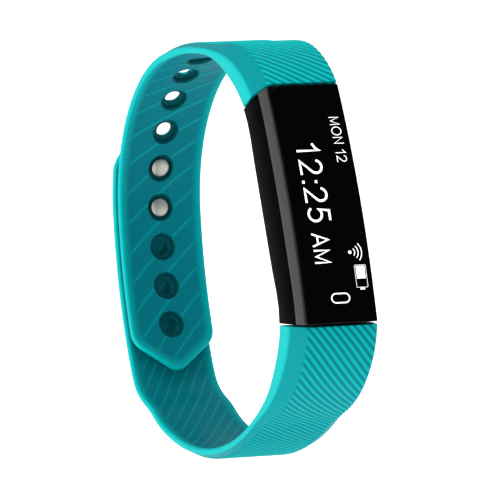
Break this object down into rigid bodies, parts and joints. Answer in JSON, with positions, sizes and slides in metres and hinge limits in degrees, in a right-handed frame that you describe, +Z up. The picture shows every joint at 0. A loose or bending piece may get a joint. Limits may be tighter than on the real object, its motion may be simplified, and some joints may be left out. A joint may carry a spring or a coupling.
{
  "type": "fitness tracker band",
  "caption": "Slim wrist activity tracker: a glass-fronted pod between two moulded rubber straps that close with metal studs through a row of holes.",
  "frame": {"origin": "middle of the wrist opening: the centre of the box round the loop's inner face, halfway across the strap's width", "axes": "+Y along the wrist, across the strap's width; +X the horizontal way the screen faces; +Z up, with the pod leaning back 22.9 degrees from upright"},
  "size_m": [0.0838, 0.016, 0.075],
  "materials": {
    "strap_rubber": "moulded thermoplastic rubber, satin, turquoise",
    "black_housing": "moulded plastic, fine satin black",
    "grey_bezel": "moulded plastic, painted mid grey, satin",
    "gasket_rubber": "soft black foam gasket",
    "cover_glass": "polished hard cover, printed black underneath",
    "tongue_plastic": "moulded plastic, black",
    "gold_contact": "gold plated, polished",
    "battery_foil": "crimped foil pouch",
    "circuit_board": "green solder mask",
    "chip_epoxy": "moulded black epoxy",
    "chip_ceramic": "fired ceramic",
    "nickel_plate": "nickel plated steel",
    "rotor_metal": "sintered heavy alloy",
    "display_panel": "dark display glass",
    "flex_film": "amber polyimide film",
    "copper_foil": "bare copper foil",
    "stud_metal": "domed, satin nickel plated"
  },
  "bodies": {
    "pod": {"lower_case": "black_housing", "back_cover": "black_housing", "bezel_frame": "grey_bezel", "cover_gasket": "gasket_rubber", "glass_cover": "cover_glass", "charging_tongue": "tongue_plastic", "charging_contact_1": "gold_contact", "charging_contact_2": "gold_contact", "charging_contact_3": "gold_contact", "charging_contact_4": "gold_contact", "battery_cell": "battery_foil", "main_board": "circuit_board", "processor_chip": "chip_epoxy", "motion_sensor_chip": "chip_epoxy", "crystal": "nickel_plate", "antenna_chip": "chip_ceramic", "oled_panel": "display_panel", "oled_flex": "flex_film", "touch_electrode": "copper_foil", "motor_base": "nickel_plate", "motor_cap": "nickel_plate"},
    "motor_rotor": {"motor_rotor": "rotor_metal"},
    "upper_socket": {"upper_strap_socket": "strap_rubber"},
    "upper_arch": {"upper_strap_neck": "strap_rubber", "upper_strap_arch": "strap_rubber"},
    "upper_tail": {"upper_strap_tail": "strap_rubber"},
    "lower_socket": {"lower_strap_socket": "strap_rubber"},
    "lower_arch": {"lower_strap_neck": "strap_rubber", "lower_strap_arch": "strap_rubber"},
    "lower_tail": {"lower_strap_tail": "strap_rubber", "clasp_stud_1": "stud_metal", "clasp_stud_2": "stud_metal"}
  },
  "joints": [
    {"name": "upper_strap_release", "type": "slide", "parent": "pod", "child": "upper_socket", "axis": [-0.654, 0, 0.7565], "range_m": [0, 0.006], "deforming": ["upper_strap_neck"]},
    {"name": "upper_strap_give", "type": "slide", "parent": "upper_socket", "child": "upper_arch", "axis": [-0.654, 0, 0.7565], "range_m": [-0.006, 0]},
    {"name": "upper_strap_flex", "type": "hinge", "parent": "upper_arch", "child": "upper_tail", "pos_m": [-0.00839, 0, 0.03412], "axis": [0, -1, 0], "range_deg": [0, 40], "stiffness_Nm_per_rad": 0.02, "springref_deg": -11.46},
    {"name": "lower_strap_release", "type": "slide", "parent": "pod", "child": "lower_socket", "axis": [0.0099, 0, -1], "range_m": [0, 0.01], "deforming": ["lower_strap_neck"]},
    {"name": "lower_strap_give", "type": "slide", "parent": "lower_socket", "child": "lower_arch", "axis": [0.0099, 0, -1], "range_m": [-0.01, 0]},
    {"name": "clasp_open", "type": "hinge", "parent": "lower_arch", "child": "lower_tail", "pos_m": [-0.01433, 0, -0.03428], "axis": [0, -1, 0], "range_deg": [0, 60], "stiffness_Nm_per_rad": 0.02, "springref_deg": -11.46},
    {"name": "motor_spin", "type": "hinge", "parent": "pod", "child": "motor_rotor", "pos_m": [0.02644, 0, 0.01904], "axis": [0.9212, 0, 0.3891], "continuous": true}
  ],
  "couplings": [
    {"joint": "upper_strap_give", "follows": "upper_strap_release", "ratio": -1},
    {"joint": "lower_strap_give", "follows": "lower_strap_release", "ratio": -1}
  ]
}
